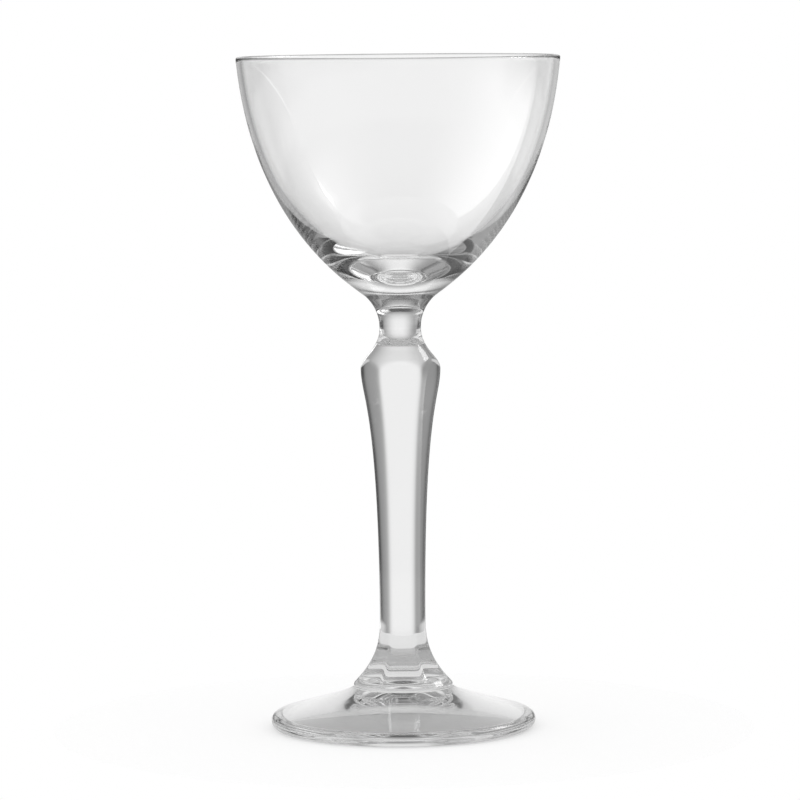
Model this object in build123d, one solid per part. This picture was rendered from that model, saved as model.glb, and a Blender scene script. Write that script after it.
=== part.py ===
from build123d import *
import math
import os

# A stemmed cocktail glass of clear pressed and blown glass, in millimetres.
# The origin is on the axis at table level, +Z points up, and one flat of the stem faces -Y.
# Leans are in degrees from upright, slopes in degrees from level.
# A share says how far a curve keeps its end's direction, as a part of that curve's own height.

# Heights of the three pieces, from the table up
FOOT_HEIGHT = 9.9
STEM_LENGTH = 91.5
BOWL_HEIGHT = 61.2

# Bowl
RIM_DIAMETER = 78.0
RIM_WALL = 1.3
RIM_LEAN = 5.4
BOWL_BASE_LEAN = 45.0
BOWL_FLOOR_THICKNESS = 9.0
OUTSIDE_RIM_SHARE = 0.73
OUTSIDE_BASE_SHARE = 0.06
INSIDE_RIM_SHARE = 0.74
INSIDE_FLOOR_SHARE = 0.34

# Neck, which the bowl and the stem share across their weld
NECK_DIAMETER = 10.0
NECK_SWEEP_RADIUS = 10.1
NECK_BELOW_WELD = 4.2

# Stem, measured across the corners of its six flats
SHOULDER_ACROSS = 19.24
SHOULDER_BELOW_WELD = 14.1
WAIST_ACROSS = 11.04
WAIST_ABOVE_FOOT = 16.1
FLARE_LEAN = 42.7
CORNER_LAND = 1.6
FLAT_COUNT = 6
SWELL_NECK_SHARE = 0.53
SWELL_SHOULDER_SHARE = 0.28
TAPER_SHOULDER_SHARE = 0.12
TAPER_WAIST_SHARE = 0.845
FLARE_WAIST_SHARE = 0.475
FLARE_COLLAR_SHARE = 0.39

# Collar, where the stem stands on the foot
COLLAR_DIAMETER = 24.0
COLLAR_ROUND = 0.8
COLLAR_BAND = 0.5
LEDGE_ABOVE_FOOT = 2.4

# Foot
FOOT_DIAMETER = 64.2
FOOT_EDGE_RADIUS = 1.8
FOOT_EDGE_SLOPE = 16.7
FOOT_COLLAR_SLOPE = 38.0
FOOT_COLLAR_PULL = 2.75
FOOT_EDGE_PULL = 6.6
BEARING_WIDTH = 1.8
HOLLOW_RISE = 7.1
HOLLOW_SLOPE = 16.2
HOLLOW_EDGE_PULL = 9.1
HOLLOW_MIDDLE_PULL = 2.0


def at(radius, height):
    """A point of a profile, which lies in the plane of X and Z."""
    return Vector(radius, 0, height)


def leaning(lean, length):
    """A step upwards and outwards along a line that leans this far from upright."""
    angle = math.radians(lean)
    return Vector(length * math.sin(angle), 0, length * math.cos(angle))


def sloping(slope, length):
    """A step outwards and downwards along a line that slopes this far from level."""
    angle = math.radians(slope)
    return Vector(length * math.cos(angle), 0, -length * math.sin(angle))


def turned(profile):
    """The round solid that a closed profile makes about the axis."""
    return revolve(make_face(profile), Axis.Z)


# Levels and radii that several pieces share
weld_z = FOOT_HEIGHT + STEM_LENGTH
rim_z = weld_z + BOWL_HEIGHT
neck_z = weld_z - NECK_BELOW_WELD
weld_lean = math.degrees(math.asin(NECK_BELOW_WELD / NECK_SWEEP_RADIUS))
neck_radius = NECK_DIAMETER / 2
collar_radius = COLLAR_DIAMETER / 2


def neck_point(lean):
    """The point of the neck's hollow sweep where its outline leans this far from upright."""
    angle = math.radians(lean)
    sweep_axis = neck_radius + NECK_SWEEP_RADIUS
    return at(sweep_axis - NECK_SWEEP_RADIUS * math.cos(angle), neck_z + NECK_SWEEP_RADIUS * math.sin(angle))


def make_bowl():
    """The blown bowl, from its weld on the neck to its melted rim."""
    base = neck_point(BOWL_BASE_LEAN)
    bead_centre = at((RIM_DIAMETER - RIM_WALL) / 2, rim_z - RIM_WALL / 2)
    bead_out = leaning(RIM_LEAN + 90, RIM_WALL / 2)
    bead_up = leaning(RIM_LEAN, RIM_WALL / 2)
    rim_out = bead_centre + bead_out
    rim_in = bead_centre - bead_out
    floor = at(0, weld_z + BOWL_FLOOR_THICKNESS)
    side_height = rim_out.Z - base.Z
    inside_height = rim_in.Z - floor.Z
    outline = [
        Line(at(0, weld_z), neck_point(weld_lean)),
        ThreePointArc(neck_point(weld_lean), neck_point((weld_lean + BOWL_BASE_LEAN) / 2), base),
        Bezier(
            base,
            base + leaning(BOWL_BASE_LEAN, OUTSIDE_BASE_SHARE * side_height),
            rim_out - leaning(RIM_LEAN, OUTSIDE_RIM_SHARE * side_height),
            rim_out,
        ),
        ThreePointArc(rim_out, bead_centre + bead_up, rim_in),
        Bezier(
            rim_in,
            rim_in - leaning(RIM_LEAN, INSIDE_RIM_SHARE * inside_height),
            floor + Vector(INSIDE_FLOOR_SHARE * rim_in.X, 0, 0),
            floor,
        ),
        Line(floor, at(0, weld_z)),
    ]
    return turned(outline)


def apothem(corner_radius):
    """How far the flats lie from the axis where the rounded corners reach this radius."""
    half_land = math.asin(CORNER_LAND / 2 / corner_radius)
    return corner_radius * math.cos(math.pi / FLAT_COUNT - half_land)


# Levels and radii of the stem
shoulder_z = weld_z - SHOULDER_BELOW_WELD
waist_z = FOOT_HEIGHT + WAIST_ABOVE_FOOT
ledge_z = FOOT_HEIGHT + LEDGE_ABOVE_FOOT
collar_z = FOOT_HEIGHT + COLLAR_BAND
shoulder_radius = SHOULDER_ACROSS / 2
waist_radius = WAIST_ACROSS / 2
collar_centre = at(collar_radius - COLLAR_ROUND, collar_z)
flare_end = collar_centre + leaning(90 - FLARE_LEAN, COLLAR_ROUND)


def taper(top_radius, low_radius):
    """The stem's long hollow taper from its shoulder down to its waist."""
    height = shoulder_z - waist_z
    return Bezier(
        at(top_radius, shoulder_z),
        at(top_radius, shoulder_z - TAPER_SHOULDER_SHARE * height),
        at(low_radius, waist_z + TAPER_WAIST_SHARE * height),
        at(low_radius, waist_z),
    )


def flare(top_radius, end):
    """The stem's flare from its waist down to its collar."""
    height = waist_z - end.Z
    pull = FLARE_COLLAR_SHARE * height
    return Bezier(
        at(top_radius, waist_z),
        at(top_radius, waist_z - FLARE_WAIST_SHARE * height),
        end + leaning(-FLARE_LEAN, pull),
        end,
    )


def make_stem_blank():
    """The stem before its flats: the neck, shoulder, taper, flare and collar, all round."""
    swell_height = neck_z - shoulder_z
    outline = [
        Line(at(0, weld_z), neck_point(weld_lean)),
        ThreePointArc(neck_point(weld_lean), neck_point(weld_lean / 2), neck_point(0)),
        Bezier(
            neck_point(0),
            at(neck_radius, neck_z - SWELL_NECK_SHARE * swell_height),
            at(shoulder_radius, shoulder_z + SWELL_SHOULDER_SHARE * swell_height),
            at(shoulder_radius, shoulder_z),
        ),
        taper(shoulder_radius, waist_radius),
        flare(waist_radius, flare_end),
        ThreePointArc(
            flare_end,
            collar_centre + leaning(90 - FLARE_LEAN / 2, COLLAR_ROUND),
            at(collar_radius, collar_z),
        ),
        Line(at(collar_radius, collar_z), at(collar_radius, FOOT_HEIGHT)),
        Line(at(collar_radius, FOOT_HEIGHT), at(0, FOOT_HEIGHT)),
        Line(at(0, FOOT_HEIGHT), at(0, weld_z)),
    ]
    return turned(outline)


def make_flat_cutter():
    """The glass outside one flat, from its arched top at the shoulder to its ledge on the collar."""
    top = apothem(shoulder_radius)
    waist = apothem(waist_radius)
    low = at(apothem(flare_end.X), flare_end.Z)
    reach = 2 * max(shoulder_radius, collar_radius)
    outline = [
        Line(at(top, weld_z), at(top, shoulder_z)),
        taper(top, waist),
        flare(waist, low),
        Line(low, at(reach, low.Z)),
        Line(at(reach, low.Z), at(reach, weld_z)),
        Line(at(reach, weld_z), at(top, weld_z)),
    ]
    wedge = extrude(make_face(outline), amount=reach, dir=(0, 1, 0), both=True)
    return split(wedge, bisect_by=Plane.XY.offset(ledge_z), keep=Keep.TOP)


def make_stem():
    """The pressed stem with its flats, whose corners stay softly rounded."""
    stem = make_stem_blank()
    cutter = make_flat_cutter()
    step = 360 / FLAT_COUNT
    for index in range(FLAT_COUNT):
        stem = stem - Rot(0, 0, step * (index + 0.5)) * cutter
    return stem


def make_foot():
    """The pressed foot: a sloping disc with a round edge, a bearing ring and a cone-shaped hollow under it."""
    radius = FOOT_DIAMETER / 2
    edge_centre = at(radius - FOOT_EDGE_RADIUS, FOOT_EDGE_RADIUS)
    edge_top = edge_centre + leaning(FOOT_EDGE_SLOPE, FOOT_EDGE_RADIUS)
    collar = at(collar_radius, FOOT_HEIGHT)
    hollow_edge = at(edge_centre.X - BEARING_WIDTH, 0)
    outline = [
        Line(at(0, FOOT_HEIGHT), collar),
        Bezier(
            collar,
            collar + sloping(FOOT_COLLAR_SLOPE, FOOT_COLLAR_PULL),
            edge_top - sloping(FOOT_EDGE_SLOPE, FOOT_EDGE_PULL),
            edge_top,
        ),
        ThreePointArc(edge_top, at(radius, FOOT_EDGE_RADIUS), at(edge_centre.X, 0)),
        Line(at(edge_centre.X, 0), hollow_edge),
        Bezier(
            hollow_edge,
            hollow_edge + leaning(HOLLOW_SLOPE - 90, HOLLOW_EDGE_PULL),
            at(HOLLOW_MIDDLE_PULL, HOLLOW_RISE),
            at(0, HOLLOW_RISE),
        ),
        Line(at(0, HOLLOW_RISE), at(0, FOOT_HEIGHT)),
    ]
    return turned(outline)


os.makedirs("parts", exist_ok=True)
for name, piece in (("bowl", make_bowl()), ("stem", make_stem()), ("foot", make_foot())):
    export_step(piece, f"parts/{name}.step")
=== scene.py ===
"""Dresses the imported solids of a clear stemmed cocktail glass: its bowl, its six-sided stem and its foot.

Lengths are in metres and angles in degrees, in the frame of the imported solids: the axis is Z, the table
is at zero, and the front view looks along +Y at one flat of the stem. Leans are measured from upright and
slopes from level. A share says how far a curve keeps its end's direction, as a part of that curve's own
height. Steps say how many straight pieces stand for a line, an arc or a curve.
"""

import logging
import math
from dataclasses import dataclass
from enum import Enum
from typing import Any, Dict, List, Sequence, Set, Tuple, Union

import bpy
import numpy as np
from mathutils import Euler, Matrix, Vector

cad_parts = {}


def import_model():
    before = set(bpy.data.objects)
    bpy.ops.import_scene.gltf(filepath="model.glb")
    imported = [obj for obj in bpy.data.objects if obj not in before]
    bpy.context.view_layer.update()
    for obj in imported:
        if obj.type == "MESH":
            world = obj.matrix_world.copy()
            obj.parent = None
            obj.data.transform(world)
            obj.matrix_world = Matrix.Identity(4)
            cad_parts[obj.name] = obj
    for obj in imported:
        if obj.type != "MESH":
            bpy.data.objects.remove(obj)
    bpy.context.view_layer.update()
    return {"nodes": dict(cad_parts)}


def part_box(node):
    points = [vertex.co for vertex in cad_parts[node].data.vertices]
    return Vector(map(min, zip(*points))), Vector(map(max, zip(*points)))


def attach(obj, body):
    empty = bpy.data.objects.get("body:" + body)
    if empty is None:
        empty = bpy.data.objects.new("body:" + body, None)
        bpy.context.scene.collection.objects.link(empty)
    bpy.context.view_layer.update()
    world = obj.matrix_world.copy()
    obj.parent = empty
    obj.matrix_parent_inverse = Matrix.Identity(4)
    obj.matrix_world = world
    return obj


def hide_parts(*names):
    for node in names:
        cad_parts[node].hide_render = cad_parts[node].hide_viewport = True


LOG = logging.getLogger("glass")
MM = 0.001
BODY = "root"
Colour = Tuple[float, float, float, float]
Point = Tuple[float, float]
Span = Tuple[float, float, float, float]
Value = Union["Term", float]


class Skin(Enum):
    """Which finish a stretch of surface takes; the value is its material slot."""

    POLISHED = 0
    WELD = 1


class Term:
    """An output of a node tree that takes part in written sums, each of which adds a Math node."""

    def __init__(self, tree: "ShaderTree", socket: bpy.types.NodeSocket) -> None:
        """Keeps the tree and the socket.

        Args:
            tree: The tree that the sums grow in.
            socket: The output that this term stands for.
        """
        self.tree = tree
        self.socket = socket

    def __add__(self, other: Value) -> "Term":
        """This term plus another."""
        return self.tree.math("ADD", self, other)

    def __radd__(self, other: Value) -> "Term":
        """A number plus this term."""
        return self.tree.math("ADD", other, self)

    def __sub__(self, other: Value) -> "Term":
        """This term minus another."""
        return self.tree.math("SUBTRACT", self, other)

    def __rsub__(self, other: Value) -> "Term":
        """A number minus this term."""
        return self.tree.math("SUBTRACT", other, self)

    def __mul__(self, other: Value) -> "Term":
        """This term times another."""
        return self.tree.math("MULTIPLY", self, other)

    def __rmul__(self, other: Value) -> "Term":
        """A number times this term."""
        return self.tree.math("MULTIPLY", other, self)


class ShaderTree:
    """Writes the nodes of one material or world."""

    def __init__(self, owner: Union[bpy.types.Material, bpy.types.World]) -> None:
        """Empties the owner's node tree.

        Args:
            owner: The material or world to write.
        """
        owner.use_nodes = True
        self.tree = owner.node_tree
        self.tree.nodes.clear()

    def node(self, kind: str, settings: Dict[str, Any], sockets: Dict[Any, Any], output: Any = 0) -> Term:
        """Adds any node.

        Args:
            kind: The node's type.
            settings: Its own settings, which are set first.
            sockets: Values or terms for its inputs, by name or number.
            output: The name or number of the output to return.

        Returns:
            The chosen output, or the node's last input where it has no output.
        """
        made = self.tree.nodes.new(kind)
        for name, value in settings.items():
            setattr(made, name, value)
        for name, value in sockets.items():
            if isinstance(value, Term):
                self.tree.links.new(value.socket, made.inputs[name])
            else:
                made.inputs[name].default_value = value
        return Term(self, made.outputs[output] if made.outputs else made.inputs[-1])

    def math(self, operation: str, *values: Value) -> Term:
        """A Math node on these values, in order."""
        return self.node("ShaderNodeMath", {"operation": operation}, dict(enumerate(values)))

    def rise(self, value: Term, start: float, end: float) -> Term:
        """A soft step.

        Args:
            value: What the step depends on.
            start: Where the step is still 0.
            end: Where the step has reached 1, which may be below start.

        Returns:
            The step, from 0 to 1.
        """
        settings = {"interpolation_type": "SMOOTHSTEP", "clamp": True}
        if end > start:
            return self.node("ShaderNodeMapRange", settings, {0: value, 1: start, 2: end})
        return self.node("ShaderNodeMapRange", settings, {0: value, 1: end, 2: start, 3: 1.0, 4: 0.0})

    def rays(self) -> Tuple[Term, Term, Term]:
        """Tells how the place is looked at.

        Returns:
            Three marks of 0 or 1: straight from the camera, by a mirroring surface, and through the glass.
        """
        camera = self.node("ShaderNodeLightPath", {}, {}, "Is Camera Ray")
        mirror = self.node("ShaderNodeLightPath", {}, {}, "Is Glossy Ray")
        through = self.node("ShaderNodeLightPath", {}, {}, "Is Transmission Ray")
        return camera, mirror, through

    def surface(self, sockets: Dict[str, Any]) -> None:
        """Ends a material in one Principled surface with these inputs."""
        shader = self.node("ShaderNodeBsdfPrincipled", {}, sockets)
        self.node("ShaderNodeOutputMaterial", {}, {"Surface": shader})


def grey(level: float) -> Colour:
    """A plain grey of this level, as a colour."""
    return level, level, level, 1.0


@dataclass(frozen=True)
class ClearGlass:
    """Clear fire-polished glass with the faint ripple of pressing and blowing, greyed by a painted shade.

    Heights count by the ripple's stretch, so a low value draws the ripple out along the axis.
    """

    name: str
    # Painted shade: a grey below one darkens all that is seen through the piece. The glass itself is
    # colourless, and one leaves it clear.
    painted_shade_grey: float
    ior: float = 1.52
    ripple_scale: float = 160.0
    ripple_detail: float = 2.0
    ripple_roughness: float = 0.5
    ripple_height: float = 0.004 * MM
    ripple_stretch: float = 1.0

    def material(self) -> bpy.types.Material:
        """Writes the glass.

        Returns:
            The new material.
        """
        made = bpy.data.materials.new(self.name)
        tree = ShaderTree(made)
        place = tree.node("ShaderNodeTexCoord", {}, {}, "Object")
        stretch = (1.0, 1.0, self.ripple_stretch)
        stretched = tree.node("ShaderNodeVectorMath", {"operation": "MULTIPLY"}, {0: place, 1: stretch})
        ripple = tree.node(
            "ShaderNodeTexNoise",
            {},
            {
                "Vector": stretched,
                "Scale": self.ripple_scale,
                "Detail": self.ripple_detail,
                "Roughness": self.ripple_roughness,
            },
        )
        relief = {"Height": ripple, "Distance": self.ripple_height, "Strength": 1.0}
        tree.surface(
            {
                # The painted shade grey darkens the light through the glass.
                "Base Color": grey(self.painted_shade_grey),
                "Roughness": 0.0,
                "IOR": self.ior,
                "Transmission Weight": 1.0,
                "Normal": tree.node("ShaderNodeBump", {}, relief),
            }
        )
        return made


@dataclass(frozen=True)
class WeldSkin:
    """The place inside the glass where two pieces are fused, which doesn't show."""

    name: str = "fused_weld"

    def material(self) -> bpy.types.Material:
        """Writes the unseen skin.

        Returns:
            The new material.
        """
        made = bpy.data.materials.new(self.name)
        ShaderTree(made).surface({"Alpha": 0.0})
        return made


@dataclass(frozen=True)
class TableTop:
    """A matt table that looks white to the camera and pale grey in the glass, and takes a soft shadow."""

    name: str = "pale_table"
    shade: float = 0.46
    camera_glow: float = 0.53
    glass_glow: float = 0.40

    def material(self) -> bpy.types.Material:
        """Writes the table's finish.

        Returns:
            The new material.
        """
        made = bpy.data.materials.new(self.name)
        tree = ShaderTree(made)
        camera, mirror, through = tree.rays()
        in_glass = tree.math("MAXIMUM", mirror, through)
        tree.surface(
            {
                "Base Color": grey(self.shade),
                "Roughness": 1.0,
                "Specular IOR Level": 0.0,
                "Emission Color": camera * self.camera_glow + in_glass * self.glass_glow,
                "Emission Strength": 1.0,
            }
        )
        return made


@dataclass(frozen=True)
class Patch:
    """A soft-edged patch of the directions round the glass, such as a light panel or a dark card.

    Bearings run clockwise from straight behind the glass, and heights up from the level, both in degrees.
    Each holds four places: where the patch starts, where it is full, where it starts to fade and where it
    ends.
    """

    strength: float
    bearings: Span
    heights: Span

    def level(self, tree: ShaderTree, bearing: Term, height: Term) -> Term:
        """How strong the patch is in a direction.

        Args:
            tree: The tree to write in.
            bearing: The direction's bearing.
            height: The direction's height.

        Returns:
            The patch's strength there.
        """
        start, start_full, end_full, end = self.bearings
        low, low_full, high_full, high = self.heights
        across = tree.rise(bearing, start, start_full) * tree.rise(bearing, end, end_full)
        upright = tree.rise(height, low, low_full) * tree.rise(height, high, high_full)
        return across * upright * self.strength

    def flipped(self) -> "Patch":
        """The same patch on the other side of the glass."""
        start, start_full, end_full, end = self.bearings
        return Patch(self.strength, (-end, -end_full, -start_full, -start), self.heights)


ALL_ROUND: Span = (-182.0, -181.0, 181.0, 182.0)


@dataclass(frozen=True)
class StudioSky:
    """The soft light round the table, as the glass shows it.

    The room is grey. Dark cards take light from it: the ceiling, one on each side, which draw the edges
    of the stem, and one at the front right. Panels add light: the white wall behind the glass, a low
    panel on each side, and a high panel with a key light at the right. Mirroring surfaces also show an
    edge card and an edge panel on each side, which draw the bowl's edges, and the key light's bright
    middle. What is seen through the glass also shows openings on both sides, which keep it clear from
    other views. The table takes an even fill instead, and the camera sees plain white.
    """

    fill: float = 1.05
    room: float = 0.35
    ceiling: Patch = Patch(0.79, ALL_ROUND, (34.0, 71.0, 91.0, 92.0))
    right_card: Patch = Patch(0.94, (37.0, 54.0, 90.0, 110.0), (-25.0, -8.0, 13.0, 17.0))
    left_card: Patch = Patch(0.78, (-93.0, -88.0, -51.0, -39.0), (-60.0, -10.0, 13.0, 16.0))
    front_card: Patch = Patch(0.8, (92.0, 112.0, 150.0, 176.0), (-9.0, -4.0, 10.0, 15.0))
    back_wall: Patch = Patch(0.62, (-34.0, -3.0, 5.0, 46.0), (-64.0, -5.0, 4.0, 44.0))
    low_right_panel: Patch = Patch(1.65, (60.0, 61.5, 75.0, 160.0), (-92.0, -91.0, -16.0, -3.0))
    low_left_panel: Patch = Patch(0.2, (-170.0, -130.0, -80.0, -74.0), (-92.0, -91.0, -16.0, -3.0))
    high_panel: Patch = Patch(0.9, (53.0, 63.0, 82.0, 140.0), (25.0, 41.0, 58.0, 68.0))
    key_light: Patch = Patch(0.9, (57.0, 63.0, 80.0, 88.0), (31.0, 37.0, 46.0, 51.0))
    key_middle: Patch = Patch(5.0, (47.0, 51.0, 73.0, 79.0), (29.0, 33.0, 43.0, 46.0))
    edge_card: Patch = Patch(0.85, (5.0, 13.0, 29.0, 40.0), (-58.0, -42.0, 4.0, 9.0))
    right_edge_panel: Patch = Patch(0.7, (33.0, 42.0, 51.0, 60.0), (-30.0, -20.0, -2.0, 4.0))
    left_edge_panel: Patch = Patch(0.4, (-64.0, -52.0, -42.0, -33.0), (-30.0, -20.0, -2.0, 4.0))
    wide_opening: Patch = Patch(0.7, (33.0, 45.0, 181.0, 182.0), (-30.0, -24.0, -11.0, -7.0))
    side_opening: Patch = Patch(0.8, (78.0, 86.0, 181.0, 182.0), (-32.0, -28.0, -6.0, -3.0))

    def world(self) -> bpy.types.World:
        """Writes the light.

        Returns:
            The new world.
        """
        made = bpy.data.worlds.new("studio_light")
        tree = ShaderTree(made)
        direction = tree.node("ShaderNodeTexCoord", {}, {}, "Generated")
        east, north, up = (tree.node("ShaderNodeSeparateXYZ", {}, {0: direction}, axis) for axis in "XYZ")
        bearing = tree.math("ARCTAN2", east, north) * math.degrees(1.0)
        height = tree.math("ARCSINE", up) * math.degrees(1.0)
        room: Value = self.room
        for card in (self.ceiling, self.right_card, self.left_card, self.front_card):
            room = room * (1 - card.level(tree, bearing, height))
        low_panels = (self.low_right_panel, self.low_left_panel)
        for panel in (self.back_wall, *low_panels, self.high_panel, self.key_light):
            room = room + panel.level(tree, bearing, height)
        seen_through = room
        for side in (self.wide_opening, self.side_opening):
            for opening in (side, side.flipped()):
                seen_through = tree.math("MAXIMUM", seen_through, opening.level(tree, bearing, height))
        mirrored = room
        for card in (self.edge_card, self.edge_card.flipped()):
            mirrored = mirrored * (1 - card.level(tree, bearing, height))
        for panel in (self.right_edge_panel, self.left_edge_panel, self.key_middle):
            mirrored = mirrored + panel.level(tree, bearing, height)
        camera, mirror, through = tree.rays()
        soft = mirror * mirrored + (1 - mirror) * self.fill
        shown = camera + (1 - camera) * (through * seen_through + (1 - through) * soft)
        sky = tree.node("ShaderNodeBackground", {}, {"Color": shown, "Strength": 1.0})
        tree.node("ShaderNodeOutputWorld", {}, {"Surface": sky})
        return made


def curve_points(start: Point, first_pull: Point, last_pull: Point, end: Point, steps: int) -> np.ndarray:
    """Points of a cubic curve, evenly spaced in its own measure.

    Args:
        start: Where the curve starts.
        first_pull: The point that it sets out towards.
        last_pull: The point that it arrives from.
        end: Where it ends.
        steps: How many pieces it has.

    Returns:
        One row of radius and height for each point, both ends included.
    """
    t = np.linspace(0.0, 1.0, steps + 1)[:, None]
    s = 1.0 - t
    corners = [np.array(point) for point in (start, first_pull, last_pull, end)]
    return s**3 * corners[0] + 3 * s**2 * t * corners[1] + 3 * s * t**2 * corners[2] + t**3 * corners[3]


def leaning(point: Point, lean: float, length: float) -> Point:
    """A point that lies up and out from another, along a line that leans this far from upright."""
    angle = math.radians(lean)
    return point[0] + length * math.sin(angle), point[1] + length * math.cos(angle)


class Outline:
    """A profile of radius and height that grows by straight lines, arcs and curves, each with its skin."""

    def __init__(self, start: Point) -> None:
        """Starts the profile.

        Args:
            start: The first point, as radius and height.
        """
        self.points: List[Point] = [start]
        self.skins: List[Skin] = []

    def _extend(self, added: Sequence[Point], skin: Skin) -> None:
        """Adds points after the last one, all with one skin."""
        self.points.extend((float(radius), float(height)) for radius, height in added)
        self.skins.extend([skin] * len(added))

    def line(self, end: Point, steps: int = 1, skin: Skin = Skin.POLISHED) -> None:
        """Runs straight to a point.

        Args:
            end: Where the line ends.
            steps: How many pieces the line has.
            skin: The finish of what it turns.
        """
        start = np.array(self.points[-1])
        part = np.linspace(0.0, 1.0, steps + 1)[1:, None]
        self._extend(start + part * (np.array(end) - start), skin)

    def arc(self, centre: Point, radius: float, start: float, end: float, steps: int) -> None:
        """Runs round an arc.

        Args:
            centre: The arc's centre.
            radius: The arc's radius.
            start: The bearing of its start, in degrees from straight out, upwards.
            end: The bearing of its end.
            steps: How many pieces the arc has.
        """
        turn = np.radians(np.linspace(start, end, steps + 1)[1:])
        circle = np.stack([np.cos(turn), np.sin(turn)], axis=1)
        self._extend(np.array(centre) + radius * circle, Skin.POLISHED)

    def curve(self, first_pull: Point, last_pull: Point, end: Point, steps: int) -> None:
        """Runs along a smooth curve.

        Args:
            first_pull: The point that the curve sets out towards.
            last_pull: The point that the curve arrives from.
            end: Where the curve ends.
            steps: How many pieces the curve has.
        """
        self._extend(curve_points(self.points[-1], first_pull, last_pull, end, steps)[1:], Skin.POLISHED)


def mark_finish_edges(mesh: bpy.types.Mesh) -> None:
    """Keeps the edges between two finishes sharp, so that a weld doesn't bend the glass beside it.

    Args:
        mesh: The mesh to mark.
    """
    touching: Dict[Tuple[int, int], Set[int]] = {}
    for polygon in mesh.polygons:
        for key in polygon.edge_keys:
            touching.setdefault(key, set()).add(polygon.material_index)
    for edge in mesh.edges:
        edge.use_edge_sharp = len(touching[edge.key]) > 1


def turned_mesh(name: str, radii: np.ndarray, heights: np.ndarray, skins: Sequence[Skin]) -> bpy.types.Mesh:
    """A closed mesh of rings about the axis; a ring of no radius is a single point.

    Args:
        name: The mesh's name.
        radii: One row for each ring and one column for each step round it.
        heights: The height of each ring.
        skins: The finish of each band between two rings.

    Returns:
        The new mesh, smooth but for the edges between two finishes.
    """
    around = radii.shape[1]
    turn = np.linspace(0.0, 2.0 * math.pi, around, endpoint=False)
    points: List[Tuple[float, float, float]] = []
    rings: List[List[int]] = []
    for ring, height in zip(radii, heights):
        first = len(points)
        if ring.max() <= 0.0:
            points.append((0.0, 0.0, float(height)))
            rings.append([first] * around)
            continue
        points.extend(zip(ring * np.cos(turn), ring * np.sin(turn), np.full(around, height)))
        rings.append(list(range(first, first + around)))
    faces: List[Tuple[int, ...]] = []
    finishes: List[int] = []
    for lower, upper, skin in zip(rings, rings[1:], skins):
        for here in range(around):
            there = (here + 1) % around
            corners = (lower[here], upper[here], upper[there], lower[there])
            faces.append(tuple(dict.fromkeys(corners)))
            finishes.append(skin.value)
    mesh = bpy.data.meshes.new(name)
    mesh.from_pydata(points, [], faces)
    mesh.polygons.foreach_set("material_index", finishes)
    mesh.polygons.foreach_set("use_smooth", [True] * len(faces))
    mark_finish_edges(mesh)
    mesh.update()
    return mesh


def round_mesh(name: str, outline: Outline, around: int) -> bpy.types.Mesh:
    """Turns a round profile about the axis.

    Args:
        name: The mesh's name.
        outline: The profile.
        around: How many steps the turn has.

    Returns:
        The new mesh.
    """
    points = np.array(outline.points)
    radii = np.repeat(points[:, :1], around, axis=1)
    return turned_mesh(name, radii, points[:, 1], outline.skins)


def place_piece(
    name: str, mesh: bpy.types.Mesh, node: str, finishes: Sequence[bpy.types.Material]
) -> bpy.types.Object:
    """Puts a mesh in the scene for the solid that it stands for.

    Args:
        name: The piece's name.
        mesh: Its mesh.
        node: The solid that it replaces.
        finishes: Its materials, in the order of Skin.

    Returns:
        The new piece.
    """
    piece = bpy.data.objects.new(name, mesh)
    bpy.context.scene.collection.objects.link(piece)
    for finish in finishes:
        mesh.materials.append(finish)
    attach(piece, BODY)
    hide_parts(node)
    LOG.info("%s: %d faces", name, len(mesh.polygons))
    return piece


@dataclass
class Neck:
    """The hollow sweep under the bowl, which the bowl and the stem share across their weld."""

    weld_height: float
    radius: float = 5.0 * MM
    sweep_radius: float = 10.1 * MM
    below_weld: float = 4.2 * MM
    sweep_steps: int = 14

    @property
    def height(self) -> float:
        """The height of the neck's narrowest place."""
        return self.weld_height - self.below_weld

    @property
    def centre(self) -> Point:
        """The centre of the sweep, outside the neck."""
        return self.radius + self.sweep_radius, self.height

    @property
    def weld_lean(self) -> float:
        """How far the outline leans at the weld."""
        return math.degrees(math.asin(self.below_weld / self.sweep_radius))

    def point(self, lean: float) -> Point:
        """The point of the sweep where the outline leans this far."""
        return leaning(self.centre, lean - 90.0, self.sweep_radius)


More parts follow.
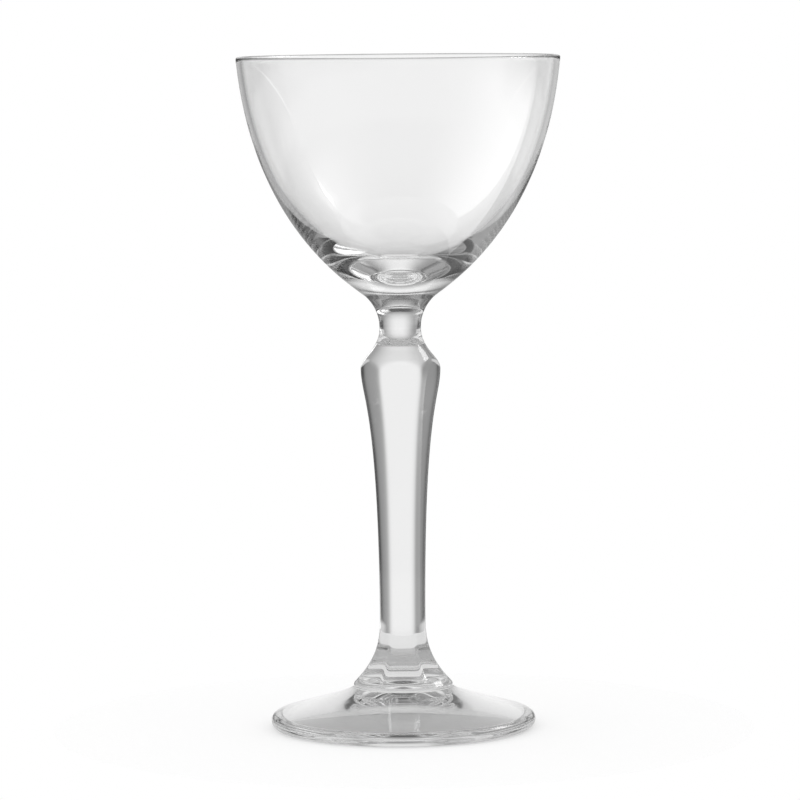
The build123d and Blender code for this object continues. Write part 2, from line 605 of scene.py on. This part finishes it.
@dataclass
class Bowl:
    """The blown bowl with its melted rim and thick floor."""

    neck: Neck
    rim_radius: float
    rim_height: float
    rim_wall: float = 1.3 * MM
    rim_lean: float = 5.4
    base_lean: float = 45.0
    floor_thickness: float = 9.0 * MM
    outside_rim_share: float = 0.73
    outside_base_share: float = 0.06
    inside_rim_share: float = 0.74
    inside_floor_share: float = 0.34
    inside_steps: int = 150
    rim_steps: int = 20
    outside_steps: int = 120
    around: int = 288
    glass: ClearGlass = ClearGlass("blown_glass", painted_shade_grey=0.99)

    def outline(self) -> Outline:
        """Runs from the floor up the inside, over the rim and down the outside to the weld.

        Returns:
            The bowl's profile.
        """
        neck = self.neck
        half = self.rim_wall / 2
        bead = (self.rim_radius - half, self.rim_height - half)
        rim_out = leaning(bead, self.rim_lean + 90.0, half)
        rim_in = leaning(bead, self.rim_lean - 90.0, half)
        floor = (0.0, neck.weld_height + self.floor_thickness)
        base = neck.point(self.base_lean)
        inside = rim_in[1] - floor[1]
        side = rim_out[1] - base[1]
        made = Outline(floor)
        made.curve(
            (self.inside_floor_share * rim_in[0], floor[1]),
            leaning(rim_in, self.rim_lean, -self.inside_rim_share * inside),
            rim_in,
            self.inside_steps,
        )
        made.arc(bead, half, 180.0 - self.rim_lean, -self.rim_lean, self.rim_steps)
        made.curve(
            leaning(rim_out, self.rim_lean, -self.outside_rim_share * side),
            leaning(base, self.base_lean, self.outside_base_share * side),
            base,
            self.outside_steps,
        )
        sweep_start, sweep_end = 180.0 - self.base_lean, 180.0 - neck.weld_lean
        made.arc(neck.centre, neck.sweep_radius, sweep_start, sweep_end, neck.sweep_steps)
        made.line((0.0, neck.weld_height), skin=Skin.WELD)
        return made

    def build(self) -> bpy.types.Mesh:
        """Turns the profile about the axis."""
        return round_mesh("bowl_mesh", self.outline(), self.around)

    def dress(self, mesh: bpy.types.Mesh, weld: bpy.types.Material) -> bpy.types.Object:
        """Gives the bowl its glass, and its weld the unseen skin."""
        return place_piece("bowl_glass", mesh, "bowl", [self.glass.material(), weld])


@dataclass
class Stem:
    """The pressed stem: round neck, shoulder, six long flats, flare and collar."""

    neck: Neck
    foot_height: float
    collar_radius: float
    shoulder_radius: float = 9.62 * MM
    shoulder_below_weld: float = 14.1 * MM
    waist_radius: float = 5.52 * MM
    waist_above_foot: float = 16.1 * MM
    flare_lean: float = 42.7
    corner_land: float = 1.6 * MM
    corner_sharpness: float = 24.0
    arch_sharpness: float = 60.0
    flat_count: int = 6
    swell_neck_share: float = 0.53
    swell_shoulder_share: float = 0.28
    taper_shoulder_share: float = 0.12
    taper_waist_share: float = 0.845
    flare_waist_share: float = 0.475
    flare_collar_share: float = 0.39
    collar_round: float = 0.8 * MM
    collar_band: float = 0.5 * MM
    ledge_above_foot: float = 2.4 * MM
    ledge_softness: float = 0.35 * MM
    swell_steps: int = 70
    taper_steps: int = 90
    flare_steps: int = 130
    collar_steps: int = 8
    band_steps: int = 3
    around: int = 288
    # Painted shade: the stem's glass is greyer than the bowl's.
    glass: ClearGlass = ClearGlass("pressed_stem_glass", painted_shade_grey=0.93, ripple_stretch=0.35)

    @property
    def shoulder_height(self) -> float:
        """The height of the widest place of the shoulder."""
        return self.neck.weld_height - self.shoulder_below_weld

    @property
    def waist_height(self) -> float:
        """The height of the narrowest place above the flare."""
        return self.foot_height + self.waist_above_foot

    @property
    def collar_centre(self) -> Point:
        """The centre of the collar's round edge."""
        return self.collar_radius - self.collar_round, self.foot_height + self.collar_band

    @property
    def flare_end(self) -> Point:
        """Where the flare runs into the collar's round edge."""
        return leaning(self.collar_centre, 90.0 - self.flare_lean, self.collar_round)

    def apothem(self, corner_radius: float) -> float:
        """How far the flats lie from the axis where the corners reach this radius."""
        half_land = math.asin(self.corner_land / 2 / corner_radius)
        return corner_radius * math.cos(math.pi / self.flat_count - half_land)

    def taper(self, top: float, low: float) -> np.ndarray:
        """The long taper from the shoulder to the waist.

        Args:
            top: The radius at the shoulder.
            low: The radius at the waist.

        Returns:
            One row of radius and height for each point, both ends included.
        """
        start, end = self.shoulder_height, self.waist_height
        drop = start - end
        return curve_points(
            (top, start),
            (top, start - self.taper_shoulder_share * drop),
            (low, end + self.taper_waist_share * drop),
            (low, end),
            self.taper_steps,
        )

    def flare(self, top: float, low: float) -> np.ndarray:
        """The flare from the waist to the collar's round edge.

        Args:
            top: The radius at the waist.
            low: The radius at the round edge.

        Returns:
            One row of radius and height for each point, both ends included.
        """
        start, end = self.waist_height, self.flare_end[1]
        drop = start - end
        return curve_points(
            (top, start),
            (top, start - self.flare_waist_share * drop),
            leaning((low, end), -self.flare_lean, self.flare_collar_share * drop),
            (low, end),
            self.flare_steps,
        )

    def side(self, shoulder: float, waist: float, edge: float) -> np.ndarray:
        """The taper and the flare through these three radii, without the point on the shoulder."""
        return np.vstack([self.taper(shoulder, waist)[1:], self.flare(waist, edge)[1:]])

    def rows(self) -> Tuple[np.ndarray, np.ndarray, np.ndarray, List[Skin]]:
        """Runs from the weld under the bowl down to the weld on the foot.

        Returns:
            The radius of the corners, the distance of the flats and the height of each ring, and the skins.
        """
        neck = self.neck
        upper = Outline((0.0, neck.weld_height))
        upper.line(neck.point(neck.weld_lean), skin=Skin.WELD)
        upper.arc(neck.centre, neck.sweep_radius, 180.0 - neck.weld_lean, 180.0, neck.sweep_steps)
        drop = neck.height - self.shoulder_height
        upper.curve(
            (neck.radius, neck.height - self.swell_neck_share * drop),
            (self.shoulder_radius, self.shoulder_height + self.swell_shoulder_share * drop),
            (self.shoulder_radius, self.shoulder_height),
            self.swell_steps,
        )
        widths = (self.shoulder_radius, self.waist_radius, self.flare_end[0])
        corners = self.side(*widths)
        flats = self.side(*map(self.apothem, widths))[:, 0]
        lower = Outline(tuple(corners[-1]))
        lower.arc(self.collar_centre, self.collar_round, self.flare_lean, 0.0, self.collar_steps)
        lower.line((self.collar_radius, self.foot_height), self.band_steps)
        lower.line((0.0, self.foot_height), skin=Skin.WELD)
        points = np.vstack([upper.points, corners, lower.points[1:]])
        flats_above = np.full(len(upper.points), self.apothem(self.shoulder_radius))
        flats_below = np.full(len(lower.points) - 1, flats[-1])
        skins = upper.skins + [Skin.POLISHED] * len(corners) + lower.skins
        return points[:, 0], np.concatenate([flats_above, flats, flats_below]), points[:, 1], skins

    def ring(self, cut: float, off_flat: np.ndarray) -> np.ndarray:
        """A ring of about one unit with soft corners between its flats.

        Args:
            cut: How far the flats cut into the ring; below about 0.8 it stays round.
            off_flat: The angles from the middle of a flat, in radians.

        Returns:
            The ring's radius at each angle.
        """
        step = 2.0 * math.pi / self.flat_count
        total = np.ones_like(off_flat)
        for neighbour in (-step, 0.0, step):
            total += np.clip(np.cos(off_flat + neighbour) * cut, 0.0, None) ** self.corner_sharpness
        return total ** (-1.0 / self.corner_sharpness)

    def cut_for(self, share: float) -> float:
        """Finds the cut at which the middles of the flats keep a share of the corners' radius, by halving.

        Args:
            share: The distance of the flats as a part of the corners' radius.

        Returns:
            The cut for the ring.
        """
        low, high = 0.5, 1.5
        halvings = 30
        ends = np.array([0.0, math.pi / self.flat_count])
        for _ in range(halvings):
            middle, corner = self.ring((low + high) / 2, ends)
            if middle > share * corner:
                low = (low + high) / 2
            else:
                high = (low + high) / 2
        return low

    def build(self) -> bpy.types.Mesh:
        """Rounds the corners between the flats softly, and lets the flats end on their ledges.

        Returns:
            The stem's mesh.
        """
        corners, flats, heights, skins = self.rows()
        turn = np.linspace(0.0, 2.0 * math.pi, self.around, endpoint=False)
        step = 2.0 * math.pi / self.flat_count
        off_flat = turn % step - step / 2
        ledge = self.foot_height + self.ledge_above_foot
        below = np.clip((ledge - heights) / self.ledge_softness * 0.5 + 0.5, 0.0, 1.0)
        below = below * below * (3.0 - 2.0 * below)
        radii = np.zeros((len(heights), self.around))
        for row, (corner, flat) in enumerate(zip(corners, flats)):
            if corner <= 0.0:
                continue
            # A flat takes over softly where it comes to lie inside the round form: that is its arched top.
            share = (1.0 + (corner / flat) ** self.arch_sharpness) ** (-1.0 / self.arch_sharpness)
            faceted = self.ring(self.cut_for(share), off_flat)
            faceted = faceted / faceted.max()
            radii[row] = corner * (faceted + (1.0 - faceted) * below[row])
        return turned_mesh("stem_mesh", radii, heights, skins)

    def dress(self, mesh: bpy.types.Mesh, weld: bpy.types.Material) -> bpy.types.Object:
        """Gives the stem its glass, and its two welds the unseen skin."""
        return place_piece("stem_glass", mesh, "stem", [self.glass.material(), weld])


@dataclass
class Foot:
    """The pressed foot: a sloping disc with a round edge, a bearing ring and a hollow underside."""

    radius: float
    height: float
    collar_radius: float
    edge_radius: float = 1.8 * MM
    edge_slope: float = 16.7
    collar_slope: float = 38.0
    collar_pull: float = 2.75 * MM
    edge_pull: float = 6.6 * MM
    bearing_width: float = 1.8 * MM
    hollow_rise: float = 7.1 * MM
    hollow_slope: float = 16.2
    hollow_edge_pull: float = 9.1 * MM
    hollow_middle_pull: float = 2.0 * MM
    top_steps: int = 80
    edge_steps: int = 40
    bearing_steps: int = 4
    hollow_steps: int = 70
    around: int = 288
    # Painted shade: the foot's glass is the greyest of the three.
    glass: ClearGlass = ClearGlass("pressed_foot_glass", painted_shade_grey=0.885)

    def outline(self) -> Outline:
        """Runs from the weld over the top and the edge to the hollow under the foot.

        Returns:
            The foot's profile.
        """
        collar = (self.collar_radius, self.height)
        edge = (self.radius - self.edge_radius, self.edge_radius)
        edge_top = leaning(edge, self.edge_slope, self.edge_radius)
        hollow_edge = (edge[0] - self.bearing_width, 0.0)
        made = Outline((0.0, self.height))
        made.line(collar, skin=Skin.WELD)
        made.curve(
            leaning(collar, self.collar_slope + 90.0, self.collar_pull),
            leaning(edge_top, self.edge_slope + 90.0, -self.edge_pull),
            edge_top,
            self.top_steps,
        )
        made.arc(edge, self.edge_radius, 90.0 - self.edge_slope, -90.0, self.edge_steps)
        made.line(hollow_edge, self.bearing_steps)
        made.curve(
            leaning(hollow_edge, self.hollow_slope - 90.0, self.hollow_edge_pull),
            (self.hollow_middle_pull, self.hollow_rise),
            (0.0, self.hollow_rise),
            self.hollow_steps,
        )
        return made

    def build(self) -> bpy.types.Mesh:
        """Turns the profile about the axis."""
        return round_mesh("foot_mesh", self.outline(), self.around)

    def dress(self, mesh: bpy.types.Mesh, weld: bpy.types.Material) -> bpy.types.Object:
        """Gives the foot its glass, and its weld the unseen skin."""
        return place_piece("foot_glass", mesh, "foot", [self.glass.material(), weld])


@dataclass
class Studio:
    """The white table, the soft light and the camera in front of the glass."""

    table_radius: float = 85.0 * MM
    table_gap: float = 0.1 * MM
    table_sides: int = 96
    camera_distance: float = 1060.0 * MM
    camera_height: float = 176.5 * MM
    camera_aside: float = -0.2 * MM
    camera_pitch: float = 5.224
    camera_roll: float = 0.5
    camera_nearest: float = 0.05
    camera_farthest: float = 50.0
    focal_pixels: float = 4404.0
    image_pixels: float = 800.0
    sensor: float = 36.0
    light_bounces: int = 128
    clear_bounces: int = 32

    def build_table(self) -> bpy.types.Object:
        """Lays the white table just under the foot.

        Returns:
            The table, which is no part of the glass.
        """
        points = [
            (self.table_radius * math.cos(angle), self.table_radius * math.sin(angle), -self.table_gap)
            for angle in np.linspace(0.0, 2.0 * math.pi, self.table_sides, endpoint=False)
        ]
        mesh = bpy.data.meshes.new("table_mesh")
        mesh.from_pydata(points, [], [tuple(range(self.table_sides))])
        table = bpy.data.objects.new("table", mesh)
        bpy.context.scene.collection.objects.link(table)
        mesh.materials.append(TableTop().material())
        return table

    def build_camera(self) -> bpy.types.Object:
        """Sets the camera at the photograph's place.

        Returns:
            The camera.
        """
        data = bpy.data.cameras.new("front_camera")
        data.sensor_width = self.sensor
        data.lens = self.focal_pixels * self.sensor / self.image_pixels
        data.clip_start = self.camera_nearest
        data.clip_end = self.camera_farthest
        camera = bpy.data.objects.new("front_camera", data)
        bpy.context.scene.collection.objects.link(camera)
        camera.location = (self.camera_aside, -self.camera_distance, self.camera_height)
        tilt = Euler((math.radians(90.0 - self.camera_pitch), 0.0, 0.0)).to_matrix()
        roll = Euler((0.0, 0.0, math.radians(-self.camera_roll))).to_matrix()
        camera.rotation_euler = (tilt @ roll).to_euler()
        bpy.context.scene.camera = camera
        return camera

    def light(self) -> None:
        """Puts up the soft light and the plain view of it.

        Light that is caught in the bowl's wall comes out only after many turns, so the bounces are many.
        """
        scene = bpy.context.scene
        scene.world = StudioSky().world()
        scene.view_settings.view_transform = "Standard"
        scene.cycles.max_bounces = self.light_bounces
        scene.cycles.transmission_bounces = self.light_bounces
        scene.cycles.glossy_bounces = self.light_bounces
        scene.cycles.transparent_max_bounces = self.clear_bounces


def box_radius(low: Vector, high: Vector) -> float:
    """The radius of a round solid, from the corners of its box."""
    return (high.x - low.x) / 2


def main() -> None:
    """Builds the glass round its frame, then the studio."""
    logging.basicConfig(level=logging.INFO)
    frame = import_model()
    LOG.info("frame: %d solids", len(frame["nodes"]))
    bowl_low, bowl_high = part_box("bowl")
    stem_low, stem_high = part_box("stem")
    foot_low, foot_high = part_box("foot")
    neck = Neck(weld_height=stem_high.z)
    collar_radius = box_radius(stem_low, stem_high)
    bowl = Bowl(neck, rim_radius=box_radius(bowl_low, bowl_high), rim_height=bowl_high.z)
    stem = Stem(neck, foot_height=stem_low.z, collar_radius=collar_radius)
    foot = Foot(radius=box_radius(foot_low, foot_high), height=foot_high.z, collar_radius=collar_radius)
    weld = WeldSkin().material()
    for piece in (bowl, stem, foot):
        piece.dress(piece.build(), weld)
    studio = Studio()
    studio.build_table()
    studio.build_camera()
    studio.light()
    LOG.info("studio: table, camera and light in place")


if __name__ == "__main__":
    main()
